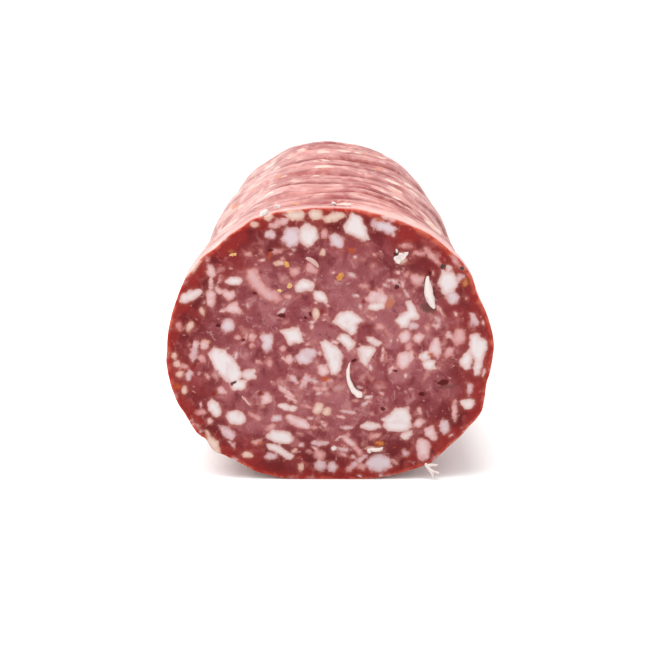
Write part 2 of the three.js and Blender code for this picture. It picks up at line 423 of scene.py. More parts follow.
CORNERED_GRAINS = [  # the big grains keep the corners of the mincer's cut
    ("bright", [(5, 57.7), (3.1, 54.6), (3.9, 53.6), (7.2, 52), (8.5, 52.2), (8.2, 54), (6.8, 56.8)]),
    ("pink", [(-17.1, 45.6), (-15.2, 46), (-14.4, 43.6), (-12.8, 41.6), (-10.6, 40.6), (-9.8, 39.2),
              (-11.2, 38.4), (-13.4, 39.6), (-15.6, 41.6), (-17.2, 43.8)]),
    ("pale_pink", [(-23, 36.7), (-18.2, 36.2), (-19.6, 38.7), (-21, 38)]),
    ("bright", [(-10.2, 32.5), (-6.4, 33.4), (-5.2, 30), (-8.3, 29.6)]),
    ("bright", [(16.5, 39), (17.6, 38.8), (19.6, 35.8), (19.3, 35.1), (17.8, 35), (16.8, 33.3),
                (15.5, 33.2), (14.3, 34.6), (15, 35.8), (16.8, 36.8)]),
    ("bright", [(2.3, 36.2), (4, 36.8), (5.6, 36.4), (7.6, 34.7), (6.2, 33.9), (5.9, 32), (4.9, 31.7),
                (1, 34.4)]),
    ("bright", [(2, 30.8), (2.8, 31.9), (4.2, 31.6), (5.8, 29.8), (5.5, 28.9), (4.4, 28.1)]),
    ("bright", [(-1.6, 30), (-0.6, 30.4), (0.8, 29.6), (2.6, 28.3), (3.1, 26.6), (2.6, 24.2),
                (1.6, 22.8), (0.8, 22.9), (-0.3, 26)]),
    ("bright", [(6.3, 28.5), (7, 29.2), (9.9, 28.9), (10.2, 28.4), (8.9, 26.2), (8.1, 24.6), (7, 25.9)]),
    ("bright", [(30.4, 31.5), (31.5, 32), (33.8, 30.3), (34, 28.5), (33.2, 26.2), (32.5, 23),
                (31.5, 22.7), (31.2, 24.5), (31.6, 26.3), (30.3, 27.8)]),
    ("bright", [(30.2, 28.3), (28.2, 26.2), (28.4, 25), (29.6, 24.1), (30.5, 24.3), (30.9, 26.5)]),
    ("bright", [(14.6, 15.5), (17.2, 15.5), (17.8, 13.5), (17.8, 11.2), (16.6, 10.3), (13, 10.4),
                (12.1, 11.4), (12.2, 12.6), (11.7, 12.9), (13.5, 14.2)]),
    ("bright", [(-25.7, 27.4), (-24.5, 28.7), (-22.3, 28.3), (-20.5, 26.4), (-19.2, 24.8), (-18.6, 23),
                (-19.2, 21.3), (-21, 20.8), (-22.5, 22), (-24.2, 24)]),
    ("pale_pink", [(8, 39.5), (9.4, 41), (11.6, 41), (12.9, 39.6), (12.2, 38.4), (9, 38.6)]),
    ("lilac", [(8.2, 3), (9, 4.6), (11, 5.2), (13.5, 4.2), (13.8, 2.2), (11.5, 1.3), (9, 1.6)]),
    ("lilac", [(-7, 26.8), (-5.5, 28.4), (-3, 28.7), (-2.4, 27.8), (-3.5, 25.8), (-4.8, 25),
               (-6.3, 25.4)]),
]
STAINS = {  # paprika oil, crushed chilli and blood spots in the meat
    "#a04420": [(-12.4, 48.8, 2, 0.6, 80), (4.9, 49.8, 1.3, 1, 0), (25.5, 49.4, 1.6, 1, -50),
                (10.8, 56.3, 2, 0.8, 0), (11.3, 7.5, 2.2, 1.2, 0), (-14.7, 7.7, 1.2, 0.6, 0),
                (-0.7, 21.9, 1.4, 1, 0), (-32.5, 20.3, 1.3, 1.2, 90), (22, 27.3, 1.2, 0.8, 0)],
    "#5f3a34": [(21.2, 37.4, 3.2, 1.8, -20), (25.4, 20.3, 3.6, 0.6, 5)],
    "#a4604a": [(13.1, 38.4, 2.3, 1.6, 60)],
    "#914d2c": [(29, 43, 2, 1.6, 90), (33, 37, 0.7, 0.5, 0), (33.7, 21.8, 0.9, 0.5, 80),
                (-27, 9, 1.4, 1, 0), (-20.6, 49.6, 1, 0.6, 0)],
    "#701a08": [(-1.4, 36.7, 0.9, 0.9, 0), (8.5, 33.4, 0.7, 0.6, 0), (7.5, 38.8, 0.7, 0.6, 0),
                (8.6, 21.2, 0.9, 0.8, 0), (14.6, 6.9, 1.2, 0.9, 0), (-14.5, 18.7, 1.2, 1, 0),
                (-24.7, 18.6, 1.2, 0.9, 90)],
}
HOLES = [  # air holes and tears: x, z, length, breadth, turn
    (24.8, 21.2, 2.3, 1.2, 10), (20.2, 18.6, 1, 0.9, 0), (14.4, 23.7, 0.6, 0.6, 0),
    (11.8, 15.3, 0.9, 0.7, 0), (5.6, 26, 0.9, 0.5, 30), (14.6, 42, 0.9, 0.8, 0),
    (21.5, 45, 0.8, 0.6, 0), (-12.2, 49.9, 0.8, 0.6, 0), (-9.9, 35.8, 1.3, 0.9, 0),
    (-15.6, 40.6, 0.7, 0.6, 0), (-23.5, 33.7, 1, 0.6, 0), (-3.8, 36.1, 0.6, 0.6, 0),
    (-4.8, 35.3, 0.6, 0.6, 0), (-18.2, 30.5, 0.5, 0.5, 0), (-20.5, 21, 1.6, 0.5, 35),
    (20.6, 42.8, 2.2, 0.5, 90), (14.4, 49, 1.1, 0.8, 60),
]
FINES = 230  # small scraps of fat between the grains
SCRAP_STRAY = 28  # degrees that they stray from lying along the ring
SMEARS = [  # where the mince was finest: x, z, half width, half height, scraps
    (4.7, 6.7, 2.8, 3.2, 34), (11.3, 2.8, 3.4, 2.4, 34), (-28.4, 12.8, 1.8, 2.4, 12),
    (19, 43.5, 2.6, 1.6, 10), (-4, 21, 7, 2.4, 26), (10.5, 40, 3, 1.6, 12),
    (28, 31.5, 2, 2.4, 12), (-17, 31.5, 3, 2.4, 12), (-10, 49.5, 3.5, 1.8, 12),
    (15, 42, 6, 2, 16), (-22, 44, 3, 3, 12), (12, 25, 3, 3, 8), (-3, 12, 6, 3, 18),
    (23, 36, 3, 3, 10),
]
SQUARENESS = 2.4
FLAT_SIDES = 5  # left by the mincer's knives
SMALLEST_CUT = 1.8  # mm; shorter scraps stay round


def blob_inside(x, z, blob, seed):
    """Distance in mm inside the edge of a chopped grain, negative outside it."""
    middle_x, middle_z, length, breadth, turn = blob
    t = math.radians(turn)
    u = (x - middle_x) * math.cos(t) + (z - middle_z) * math.sin(t)
    v = (z - middle_z) * math.cos(t) - (x - middle_x) * math.sin(t)
    way = np.arctan2(v, u)
    edge = (np.abs(np.cos(way) * 2 / length) ** SQUARENESS
            + np.abs(np.sin(way) * 2 / breadth) ** SQUARENESS) ** (-1 / SQUARENESS)
    uneven = 1.04 + 0.08 * np.sin(2 * way + 1.7 * seed) + 0.07 * np.sin(3 * way + 2.9 * seed)
    inside = edge * (uneven + 0.04 * np.sin(5 * way + 4.1 * seed)) - np.hypot(u, v)
    if length < SMALLEST_CUT:
        return inside
    cuts = random.Random(seed)
    for k in range(FLAT_SIDES):
        facing = 2 * math.pi * (k + cuts.uniform(-0.3, 0.3)) / FLAT_SIDES
        slope_u, slope_v = 2 * math.cos(facing) / length, 2 * math.sin(facing) / breadth
        out = cuts.uniform(0.84, 1.1) - u * slope_u - v * slope_v
        flat_side = out / math.hypot(slope_u, slope_v)
        inside = np.minimum(inside, flat_side)
    return inside


def polygon_inside(x, z, corners):
    """Distance in mm inside a cornered grain, negative outside it."""
    nearest = np.full(x.shape, 1e9)
    inside = np.zeros(x.shape, bool)
    for (ax, az), (bx, bz) in zip(corners, corners[1:] + corners[:1]):
        ex, ez = bx - ax, bz - az
        share = np.clip(((x - ax) * ex + (z - az) * ez) / (ex * ex + ez * ez), 0, 1)
        nearest = np.minimum(nearest, np.hypot(x - ax - share * ex, z - az - share * ez))
        crosses = (az > z) != (bz > z)
        inside ^= crosses & (x < ax + (z - az) / np.where(ez == 0, 1e-9, ez) * ex)
    rounded = 0.12
    return np.where(inside, nearest, -nearest) + rounded


GRAIN_DEPTH = 9
GRAIN_TAPER = 0.4
NO_FAT = -9.0
# The places of all points as millimetres on the face; the side near the rim shows the same
# grains, which end a few millimetres behind it.
face_x = (placed[:, 0] - FACE_ZERO_X) / MM
face_z = placed[:, 2] / MM - FACE_ZERO_Z
depth_behind = (placed[:, 1] - FACE_Y) / MM
near = depth_behind < GRAIN_DEPTH
near_x, near_z = face_x[near], face_z[near]
end_of_grain = GRAIN_TAPER * depth_behind[near]

fat_inside = np.full(near_x.shape, NO_FAT)
fat_colour = np.tile(np.array(linear(FAT_TONES["pink"][0])), (len(near_x), 1))
fat_soft = np.full(near_x.shape, 0.3)


def lay_fat(inside, tone):
    """Takes a grain into the face wherever it reaches deeper than what is there."""
    wins = inside > fat_inside
    fat_inside[wins] = inside[wins]
    colour, soft = FAT_TONES[tone]
    fat_colour[wins] = linear(colour)
    fat_soft[wins] = soft


grain_number = 0
for tone, blobs in GRAINS.items():
    for blob in blobs:
        lay_fat(blob_inside(near_x, near_z, blob, grain_number) - end_of_grain, tone)
        grain_number += 1
for tone, corners in CORNERED_GRAINS:
    lay_fat(polygon_inside(near_x, near_z, corners) - end_of_grain, tone)

dice = random.Random(11)
listed = fat_inside.copy()


def scatter_scrap(x, z, smallest, largest, tones):
    """One small scrap of fat, if the place isn't taken by a listed grain."""
    k = np.argmin((near_x - x) ** 2 + (near_z - z) ** 2)
    length = dice.uniform(smallest, largest)
    around = math.degrees(math.atan2((z - 28) * 1.3, x)) + 90  # the mince was laid in rings
    scrap = (x, z, length, length * dice.uniform(0.25, 0.65), around + dice.gauss(0, SCRAP_STRAY))
    tone = dice.choice(tones)
    if listed[k] < -0.4 * length:
        lay_fat(blob_inside(near_x, near_z, scrap, dice.uniform(0, 9)) - end_of_grain, tone)


for _ in range(FINES):
    k = dice.randrange(len(near_x))
    scatter_scrap(near_x[k], near_z[k], 0.7, 2.4 - 0.8 * near_z[k] / 58,
                  ("dim", "dim", "pink", "pale_pink", "lilac"))
for middle_x, middle_z, half_x, half_z, scraps in SMEARS:
    for _ in range(scraps):
        scatter_scrap(dice.gauss(middle_x, half_x * 0.6), dice.gauss(middle_z, half_z * 0.6), 0.6, 2.1,
                      ("dim", "pink", "pale_pink", "lilac"))

stain_colour = np.zeros((len(near_x), 4))
for code, blobs in STAINS.items():
    for k, blob in enumerate(blobs):
        amount = ramp(blob_inside(near_x, near_z, blob, k) - end_of_grain, -0.35, 0.3)
        wins = amount > stain_colour[:, 3]
        stain_colour[wins] = np.array(linear(code))
        stain_colour[wins, 3] = amount[wins]
hole_depth = np.zeros(len(near_x))
for k, blob in enumerate(HOLES):
    hole_depth = np.maximum(hole_depth, ramp(blob_inside(near_x, near_z, blob, k), -0.1, 0.3))
hole_depth *= depth_behind[near] < 1


def write_attribute(name, kind, values, elsewhere):
    """Stores one value a point, with a plain value for points far from the face."""
    width = 4 if kind == "FLOAT_COLOR" else 1
    full = np.tile(np.array(elsewhere, float), (len(placed), 1)).reshape(len(placed), width)
    full[near] = values.reshape(-1, width)
    attribute = mesh.attributes.new(name, kind, "POINT")
    attribute.data.foreach_set("color" if width == 4 else "value", full.ravel())


write_attribute("fat_inside", "FLOAT", fat_inside, NO_FAT)
write_attribute("fat_soft", "FLOAT", fat_soft, 0.3)
write_attribute("fat_colour", "FLOAT_COLOR", fat_colour, linear(FAT_TONES["pink"][0]))
write_attribute("stain", "FLOAT_COLOR", stain_colour, (0, 0, 0, 0))
write_attribute("hole", "FLOAT", hole_depth, 0.0)

from_rim = np.zeros(points.shape[:2])
from_rim[:first_side] = (rim_radius - np.hypot(points[:first_side, :, 0] - FACE_MIDDLE_X,
                                               points[:first_side, :, 2] - AXIS_HEIGHT)) / MM
from_rim[first_side:] = behind / MM
groove = np.zeros(points.shape[:2])
groove[first_side:] = pleat
for name, grid in (("from_rim", from_rim), ("pleat", groove)):
    attribute = mesh.attributes.new(name, "FLOAT", "POINT")
    attribute.data.foreach_set("value", grid[row, column].ravel())

# Holes are real pits, and fat stands a hair proud of the meat because it dries less.
HOLE_SINK = 0.35 * MM
FAT_PROUD = 0.06 * MM
on_face = row < FACE_ROWS - 2
sink = np.zeros(len(placed))
sink[near] = hole_depth * HOLE_SINK - FAT_PROUD * ramp(fat_inside, -0.3, 0.5)
knife = 0.05 * MM * cloud(face_x / 9, face_z / 2.5, face_x * 0, 3)
placed[on_face, 1] += (sink + knife)[on_face]
placed[:, 1] = np.where(row == 0, placed[row == 0, 1].mean(), placed[:, 1])
mesh.vertices.foreach_set("co", placed.ravel())

# --- faces ---------------------------------------------------------------------------------------
bpy.ops.object.mode_set(mode="EDIT")
bpy.ops.mesh.select_all(action="SELECT")
bpy.ops.mesh.remove_doubles(threshold=0.001 * MM)
bpy.ops.mesh.normals_make_consistent(inside=False)
bpy.ops.object.mode_set(mode="OBJECT")
bpy.ops.object.shade_smooth()

# --- a flat layout of the surface: the cut face as it is, the side unrolled ----------------------
LAYOUT_NAME = "OFBake"
SIDE_SPAN = 300 * MM  # the sheet's width holds this much of the profile
END_SQUEEZE = 0.6
TOP_ROOM = 0.08
FACE_PATCH = 0.66  # share of the sheet's width the face's 72 mm takes
FACE_SPAN = 72 * MM
SIDE_PATCH = 0.44  # share of the sheet's height the girth takes
GAP = 0.006
layout = mesh.uv_layers.new(name=LAYOUT_NAME)
corner_points = np.empty(len(mesh.loops), int)
mesh.loops.foreach_get("vertex_index", corner_points)
body_points = np.empty(len(mesh.vertices) * 3)
mesh.vertices.foreach_get("co", body_points)
corner_places = body_points.reshape(-1, 3)[corner_points]
polygon_size = np.empty(len(mesh.polygons), int)
mesh.polygons.foreach_get("loop_total", polygon_size)
polygon_of_corner = np.repeat(np.arange(len(mesh.polygons)), polygon_size)
middles = np.empty(len(mesh.polygons) * 3)
mesh.polygons.foreach_get("center", middles)
middles = middles.reshape(-1, 3)


def turn_of(place):
    """How far round the body a place is, as a share of a turn from the lowest line."""
    angle = np.arctan2(place[:, 2] - AXIS_HEIGHT, place[:, 0] - FACE_MIDDLE_X)
    return ((angle + math.pi / 2) / (2 * math.pi)) % 1


def length_along(place):
    """How far along the profile from the rim, over the side and in over the end."""
    off_axis = np.hypot(place[:, 0] - FACE_MIDDLE_X, place[:, 2] - AXIS_HEIGHT)
    over_end = np.where(place[:, 1] > END_START, np.maximum(0, END_DEPTH - off_axis), 0)
    return place[:, 1] - FACE_Y + END_SQUEEZE * over_end


inward = np.interp((turn_of(middles) * 2 * math.pi - math.pi / 2) % (2 * math.pi),
                   np.append(angles, 2 * math.pi), np.append(rim_radius, rim_radius[0]))
inward = inward - np.hypot(middles[:, 0] - FACE_MIDDLE_X, middles[:, 2] - AXIS_HEIGHT)
is_cut = (middles[:, 1] < FACE_Y + 2 * MM) & (inward > RIM_RADIUS * 0.3)

middle_turn = turn_of(middles)[polygon_of_corner]
corner_turn = turn_of(corner_places)
corner_turn = middle_turn + (corner_turn - middle_turn + 0.5) % 1 - 0.5
at_tip = np.hypot(corner_places[:, 0] - FACE_MIDDLE_X, corner_places[:, 2] - AXIS_HEIGHT) < 1 * MM
corner_turn = np.where(at_tip, middle_turn, corner_turn)
corner_turn = corner_turn - TOP_ROOM * np.sin(2 * math.pi * corner_turn)
side_u = GAP + (1 - 2 * GAP) * length_along(corner_places) / SIDE_SPAN
side_v = GAP + (SIDE_PATCH - 2 * GAP) * corner_turn
face_u = GAP + FACE_PATCH * (corner_places[:, 0] - FACE_MIDDLE_X + FACE_SPAN / 2) / FACE_SPAN
face_v = SIDE_PATCH + GAP + FACE_PATCH * corner_places[:, 2] / FACE_SPAN
corner_is_cut = is_cut[polygon_of_corner]
flat_u = np.where(corner_is_cut, face_u, side_u)
flat_v = np.where(corner_is_cut, face_v, side_v)
flat_places = np.stack([flat_u, flat_v], 1)
layout.data.foreach_set("uv", flat_places.ravel())

# --- materials -----------------------------------------------------------------------------------
# Cut salami: lean cured pork, mauve-red and moist, knit with fat that a sharp knife has sliced.
# The meat mottles at the size of the mince, and the fat is waxy with thin, pinker edges.
def per_mm(size):
    """The scale that makes a pattern's features about this many millimetres."""
    return 1000 / size


cut_salami, tree = new_material("cut_salami")
place = add_node(tree, "TexCoord", {}, give="Object")
attr = {name: add_node(tree, "Attribute", {}, give=give, attribute_name=name)
        for name, give in (("fat_inside", "Fac"), ("fat_soft", "Fac"), ("fat_colour", "Color"),
                           ("hole", "Fac"), ("from_rim", "Fac"))}
stain_rgb = add_node(tree, "Attribute", {}, give="Color", attribute_name="stain")
stain_amount = add_node(tree, "Attribute", {}, give="Alpha", attribute_name="stain")

# Lean: pieces of muscle a few millimetres across, each its own red, pressed together.
warp = add_node(tree, "TexNoise", {"Vector": place, "Scale": per_mm(3.5), "Detail": 3.0}, give="Color")
warp = add_node(tree, "VectorMath", {0: warp, 1: (0.5, 0.5, 0.5)}, operation="SUBTRACT")
warp = add_node(tree, "VectorMath", {0: warp, "Scale": 4.5 * MM}, operation="SCALE")
pulled = add_node(tree, "VectorMath", {0: place, 1: warp}, operation="ADD")
pieces = add_node(tree, "TexVoronoi", {"Vector": pulled, "Scale": per_mm(5.5), "Smoothness": 0.45},
                  give="Color", feature="SMOOTH_F1")
piece_pick = add_node(tree, "SeparateColor", {"Color": pieces}, give="Red")
mottle = add_node(tree, "TexNoise", {"Vector": pulled, "Scale": per_mm(2.2), "Detail": 4.0,
                                     "Roughness": 0.62})
fine = add_node(tree, "TexNoise", {"Vector": place, "Scale": per_mm(0.55), "Detail": 3.0,
                                   "Roughness": 0.6})
tone = add_node(tree, "MapRange", {"Value": piece_pick, "From Min": 0.2, "From Max": 0.8})
thread_field = add_node(tree, "TexNoise", {"Vector": pulled, "Scale": per_mm(4.5), "Detail": 1.0})
rim_wander = add_node(tree, "MapRange", {"Value": thread_field, "From Min": 0.3, "From Max": 0.7,
                                         "To Min": -2.2, "To Max": 2.2})
rim_distance = add_node(tree, "Math", {0: attr["from_rim"], 1: rim_wander}, operation="ADD")
heart = add_node(tree, "MapRange", {"Value": rim_distance, "From Min": 3.0, "From Max": 15.0},
                 interpolation_type="SMOOTHSTEP")
deep = add_node(tree, "Mix", {"Factor": heart, "A": linear("#5a1316"), "B": linear("#7b383d")},
                data_type="RGBA")
light = add_node(tree, "Mix", {"Factor": heart, "A": linear("#762425"), "B": linear("#915559")},
                 data_type="RGBA")
zone = add_node(tree, "TexNoise", {"Vector": place, "Scale": per_mm(11), "Detail": 2.0})
zone = add_node(tree, "MapRange", {"Value": zone, "From Min": 0.35, "From Max": 0.65,
                                   "To Min": -0.25, "To Max": 0.25})
tone = add_node(tree, "Math", {0: tone, 1: zone}, operation="ADD", use_clamp=True)
lean = add_node(tree, "Mix", {"Factor": tone, "A": deep, "B": light}, data_type="RGBA")
pale_share = add_node(tree, "MapRange", {"Value": mottle, "From Min": 0.5, "From Max": 0.7,
                                         "To Max": 0.65}, interpolation_type="SMOOTHSTEP")
pale = add_node(tree, "Mix", {"Factor": heart, "A": linear("#914b48"), "B": linear("#a67272")},
                data_type="RGBA")
lean = add_node(tree, "Mix", {"Factor": pale_share, "A": lean, "B": pale}, data_type="RGBA")
dark_share = add_node(tree, "MapRange", {"Value": mottle, "From Min": 0.47, "From Max": 0.3,
                                         "To Max": 0.7}, interpolation_type="SMOOTHSTEP")
lean = add_node(tree, "Mix", {"Factor": dark_share, "A": lean, "B": linear("#5c1a1e")},
                data_type="RGBA")

# Connective threads: where a warped noise crosses its middle value, it draws fine broken lines.
thread_off = add_node(tree, "Math", {0: thread_field, 1: 0.5}, operation="SUBTRACT")
thread_off = add_node(tree, "Math", {0: thread_off}, operation="ABSOLUTE")
thread = add_node(tree, "MapRange", {"Value": thread_off, "From Min": 0.022, "From Max": 0.004},
                  interpolation_type="SMOOTHSTEP")
thread_gap = add_node(tree, "TexNoise", {"Vector": place, "Scale": per_mm(2.6), "Detail": 1.0})
thread_gap = add_node(tree, "MapRange", {"Value": thread_gap, "From Min": 0.6, "From Max": 0.7,
                                         "To Max": 0.4}, interpolation_type="SMOOTHSTEP")
thread_share = add_node(tree, "Math", {0: thread, 1: thread_gap}, operation="MULTIPLY")
lean = add_node(tree, "Mix", {"Factor": thread_share, "A": lean, "B": linear("#b38a85")},
                data_type="RGBA")
drag = add_node(tree, "Mapping", {"Vector": pulled, "Scale": (1, 1, 0.16)})
drag = add_node(tree, "TexNoise", {"Vector": drag, "Scale": per_mm(0.8), "Detail": 2.0})
drag_share = add_node(tree, "MapRange", {"Value": drag, "From Min": 0.68, "From Max": 0.78,
                                         "To Max": 0.5}, interpolation_type="SMOOTHSTEP")
lean = add_node(tree, "Mix", {"Factor": drag_share, "A": lean, "B": linear("#a8787a")},
                data_type="RGBA")

# Specks: crumbs of fat under half a millimetre.
speck = add_node(tree, "TexVoronoi", {"Vector": pulled, "Scale": per_mm(1.5)})
speck_colour = add_node(tree, "TexVoronoi", {"Vector": pulled, "Scale": per_mm(1.5)}, give="Color")
speck_pick = add_node(tree, "SeparateColor", {"Color": speck_colour}, give="Green")
speck_size = add_node(tree, "MapRange", {"Value": speck_pick, "From Min": 0.55, "From Max": 1.0,
                                         "To Min": -0.05, "To Max": 0.3})
speck_in = add_node(tree, "Math", {0: speck_size, 1: speck}, operation="SUBTRACT")
speck_share = add_node(tree, "MapRange", {"Value": speck_in, "From Min": -0.06, "From Max": 0.1,
                                          "To Max": 0.6}, interpolation_type="SMOOTHSTEP")
lean = add_node(tree, "Mix", {"Factor": speck_share, "A": lean, "B": linear("#af857f")},
                data_type="RGBA")

# The outer millimetres dried harder and redder.
rim_share = add_node(tree, "MapRange", {"Value": rim_distance, "From Min": 3.8, "From Max": 0.8,
                                        "To Max": 0.75}, interpolation_type="SMOOTHSTEP")
lean = add_node(tree, "Mix", {"Factor": rim_share, "A": lean, "B": linear("#80201d")},
                data_type="RGBA")

# Fat: the grain's edge is the stored distance, frayed a little by fine noise.
fray = add_node(tree, "TexNoise", {"Vector": place, "Scale": per_mm(1.3), "Detail": 3.0,
                                   "Roughness": 0.6})
fray_reach = add_node(tree, "Math", {0: attr["fat_soft"], 1: 2.6, 2: -0.1}, operation="MULTIPLY_ADD")
fray = add_node(tree, "Math", {0: fray, 1: 0.5}, operation="SUBTRACT")
fray = add_node(tree, "Math", {0: fray, 1: fray_reach}, operation="MULTIPLY")
fray = add_node(tree, "Math", {0: fray, 1: 2.2}, operation="MULTIPLY")
frayed = add_node(tree, "Math", {0: attr["fat_inside"], 1: fray}, operation="ADD")
neg_soft = add_node(tree, "Math", {0: attr["fat_soft"], 1: -1.0}, operation="MULTIPLY")
halo_share = add_node(tree, "MapRange", {"Value": frayed, "From Min": -0.9, "From Max": 0.0,
                                         "To Max": 0.3}, interpolation_type="SMOOTHSTEP")
lean = add_node(tree, "Mix", {"Factor": halo_share, "A": lean, "B": linear("#9f594d")},
                data_type="RGBA")
fat_share = add_node(tree, "MapRange", {"Value": frayed, "From Min": neg_soft,
                                        "From Max": attr["fat_soft"]}, interpolation_type="SMOOTHSTEP")
heart_share = add_node(tree, "MapRange", {"Value": frayed, "From Min": 0.0, "From Max": 1.1},
                       interpolation_type="SMOOTHSTEP")
fat_edge_tone = add_node(tree, "Mix", {"Factor": 1.0, "A": attr["fat_colour"],
                                       "B": linear("#f1d2cc")}, data_type="RGBA", blend_type="MULTIPLY")
fat = add_node(tree, "Mix", {"Factor": heart_share, "A": fat_edge_tone, "B": attr["fat_colour"]},
               data_type="RGBA")
vein = add_node(tree, "TexNoise", {"Vector": pulled, "Scale": per_mm(2.4), "Detail": 3.0})
vein_share = add_node(tree, "MapRange", {"Value": vein, "From Min": 0.52, "From Max": 0.72,
                                         "To Max": 0.4}, interpolation_type="SMOOTHSTEP")
fat_vein = add_node(tree, "Mix", {"Factor": 1.0, "A": fat, "B": linear("#eccfcd")},
                    data_type="RGBA", blend_type="MULTIPLY")
fat = add_node(tree, "Mix", {"Factor": vein_share, "A": fat, "B": fat_vein}, data_type="RGBA")
colour = add_node(tree, "Mix", {"Factor": fat_share, "A": lean, "B": fat}, data_type="RGBA")
stain_broken = add_node(tree, "MapRange", {"Value": mottle, "From Min": 0.3, "From Max": 0.55,
                                           "To Min": 0.5, "To Max": 1.0})
stain_share = add_node(tree, "Math", {0: stain_amount, 1: stain_broken}, operation="MULTIPLY")
colour = add_node(tree, "Mix", {"Factor": stain_share, "A": colour, "B": stain_rgb}, data_type="RGBA")
# Painted shade: the air holes are coloured near-black red for the shade in their depth, deeper than the
# shallow real pit.
hole_share = add_node(tree, "MapRange", {"Value": attr["hole"], "From Min": 0.02, "From Max": 0.3,
                                         "To Max": 0.9})
colour = add_node(tree, "Mix", {"Factor": hole_share, "A": colour, "B": linear("#4e0606")},
                  data_type="RGBA")
# At the very rim a painted glow, in places orange and in places pale, stands in for light coming through
# the edge.
glow_reach = add_node(tree, "MapRange", {"Value": thread_field, "From Min": 0.35, "From Max": 0.65,
                                         "To Min": 0.45, "To Max": 1.5})
glow_share = add_node(tree, "MapRange", {"Value": attr["from_rim"], "From Min": glow_reach,
                                         "From Max": 0.2, "To Max": 0.75}, interpolation_type="SMOOTHSTEP")
bare = add_node(tree, "Math", {0: fat_share, 1: -0.85, 2: 1.0}, operation="MULTIPLY_ADD")
glow_share = add_node(tree, "Math", {0: glow_share, 1: bare}, operation="MULTIPLY")
glow_pick = add_node(tree, "MapRange", {"Value": mottle, "From Min": 0.4, "From Max": 0.62})
glow_tone = add_node(tree, "Mix", {"Factor": glow_pick, "A": linear("#981f19"), "B": linear("#bd604a")},
                     data_type="RGBA")
colour = add_node(tree, "Mix", {"Factor": glow_share, "A": colour, "B": glow_tone}, data_type="RGBA")

roughness = add_node(tree, "MapRange", {"Value": mottle, "From Min": 0.3, "From Max": 0.7,
                                        "To Min": 0.38, "To Max": 0.56})
height = add_node(tree, "Math", {0: fine, 1: 0.6, 2: mottle}, operation="MULTIPLY_ADD")
height = add_node(tree, "Math", {0: fat_share, 1: 0.35, 2: height}, operation="MULTIPLY_ADD")
bump = add_node(tree, "Bump", {"Height": height, "Strength": 0.5, "Distance": 0.15 * MM})
cut = add_node(tree, "BsdfPrincipled", {
    "Base Color": colour, "Roughness": roughness, "Normal": bump, "IOR": 1.44,
    "Specular IOR Level": 0.12,
    "Subsurface Weight": 0.25, "Subsurface Radius": (1.0, 0.45, 0.35), "Subsurface Scale": 0.9 * MM,
})
add_node(tree, "OutputMaterial", {"Surface": cut})

# Peeled rind: the same meat, dried harder at the surface. It is dusty pink on the ridges, partly painted
# highlight, and painted deep red in the pleats as painted shade, with fat grains showing through as paler
# blotches.
rind, tree = new_material("peeled_rind")
place = add_node(tree, "TexCoord", {}, give="Object")
attr = {name: add_node(tree, "Attribute", {}, give=give, attribute_name=name)
        for name, give in (("fat_inside", "Fac"), ("fat_colour", "Color"), ("pleat", "Fac"),
                           ("from_rim", "Fac"))}
flowed = add_node(tree, "Mapping", {"Vector": place, "Scale": (1, 0.42, 1)})  # as the mince was stuffed
broad = add_node(tree, "TexNoise", {"Vector": flowed, "Scale": per_mm(13), "Detail": 3.0})
mottle = add_node(tree, "TexNoise", {"Vector": flowed, "Scale": per_mm(4), "Detail": 4.0,
                                     "Roughness": 0.55, "Distortion": 0.8})
fine = add_node(tree, "TexNoise", {"Vector": place, "Scale": per_mm(0.8), "Detail": 3.0,
                                   "Roughness": 0.6})
around_body = add_node(tree, "Mapping", {"Vector": place, "Scale": (1 / 2.5, 1, 1 / 2.5)})
crease = add_node(tree, "TexNoise", {"Vector": around_body, "Scale": per_mm(4.5), "Detail": 3.0,
                                     "Roughness": 0.55, "Distortion": 0.3})
broad_share = add_node(tree, "MapRange", {"Value": broad, "From Min": 0.35, "From Max": 0.65},
                       interpolation_type="SMOOTHSTEP")
skin = add_node(tree, "Mix", {"Factor": broad_share, "A": linear("#8c3b39"), "B": linear("#b1716b")},
                data_type="RGBA")
mottle_share = add_node(tree, "MapRange", {"Value": mottle, "From Min": 0.42, "From Max": 0.68,
                                           "To Max": 0.65}, interpolation_type="SMOOTHSTEP")
skin = add_node(tree, "Mix", {"Factor": mottle_share, "A": skin, "B": linear("#c69690")},
                data_type="RGBA")

# Fat grains at the surface, as large as those in the cut and blurred by the dried skin.
bend_field = add_node(tree, "TexNoise", {"Vector": place, "Scale": per_mm(2.6), "Detail": 2.0},
                      give="Color")
bend_field = add_node(tree, "VectorMath", {0: bend_field, "Scale": 3 * MM}, operation="SCALE")
bent = add_node(tree, "Mapping", {"Vector": place, "Scale": (1, 0.6, 1)})
bent = add_node(tree, "VectorMath", {0: bent, 1: bend_field}, operation="ADD")
for size, cut_off, amount, tint in ((6.8, 0.32, 0.85, "#d3b3a6"), (3.8, 0.5, 0.65, "#c79f94")):
    cells = add_node(tree, "TexVoronoi", {"Vector": bent, "Scale": per_mm(size)})
    cell_tint = add_node(tree, "TexVoronoi", {"Vector": bent, "Scale": per_mm(size)}, give="Color")
    cell_pick = add_node(tree, "SeparateColor", {"Color": cell_tint}, give="Red")
    grain_size = add_node(tree, "MapRange", {"Value": cell_pick, "From Min": cut_off, "From Max": 1.0,
                                             "To Min": 0.0, "To Max": 0.46})
    grain_in = add_node(tree, "Math", {0: grain_size, 1: cells}, operation="SUBTRACT")
    grain_share = add_node(tree, "MapRange", {"Value": grain_in, "From Min": -0.05, "From Max": 0.1,
                                              "To Max": amount}, interpolation_type="SMOOTHSTEP")
    skin = add_node(tree, "Mix", {"Factor": grain_share, "A": skin, "B": linear(tint)},
                    data_type="RGBA")
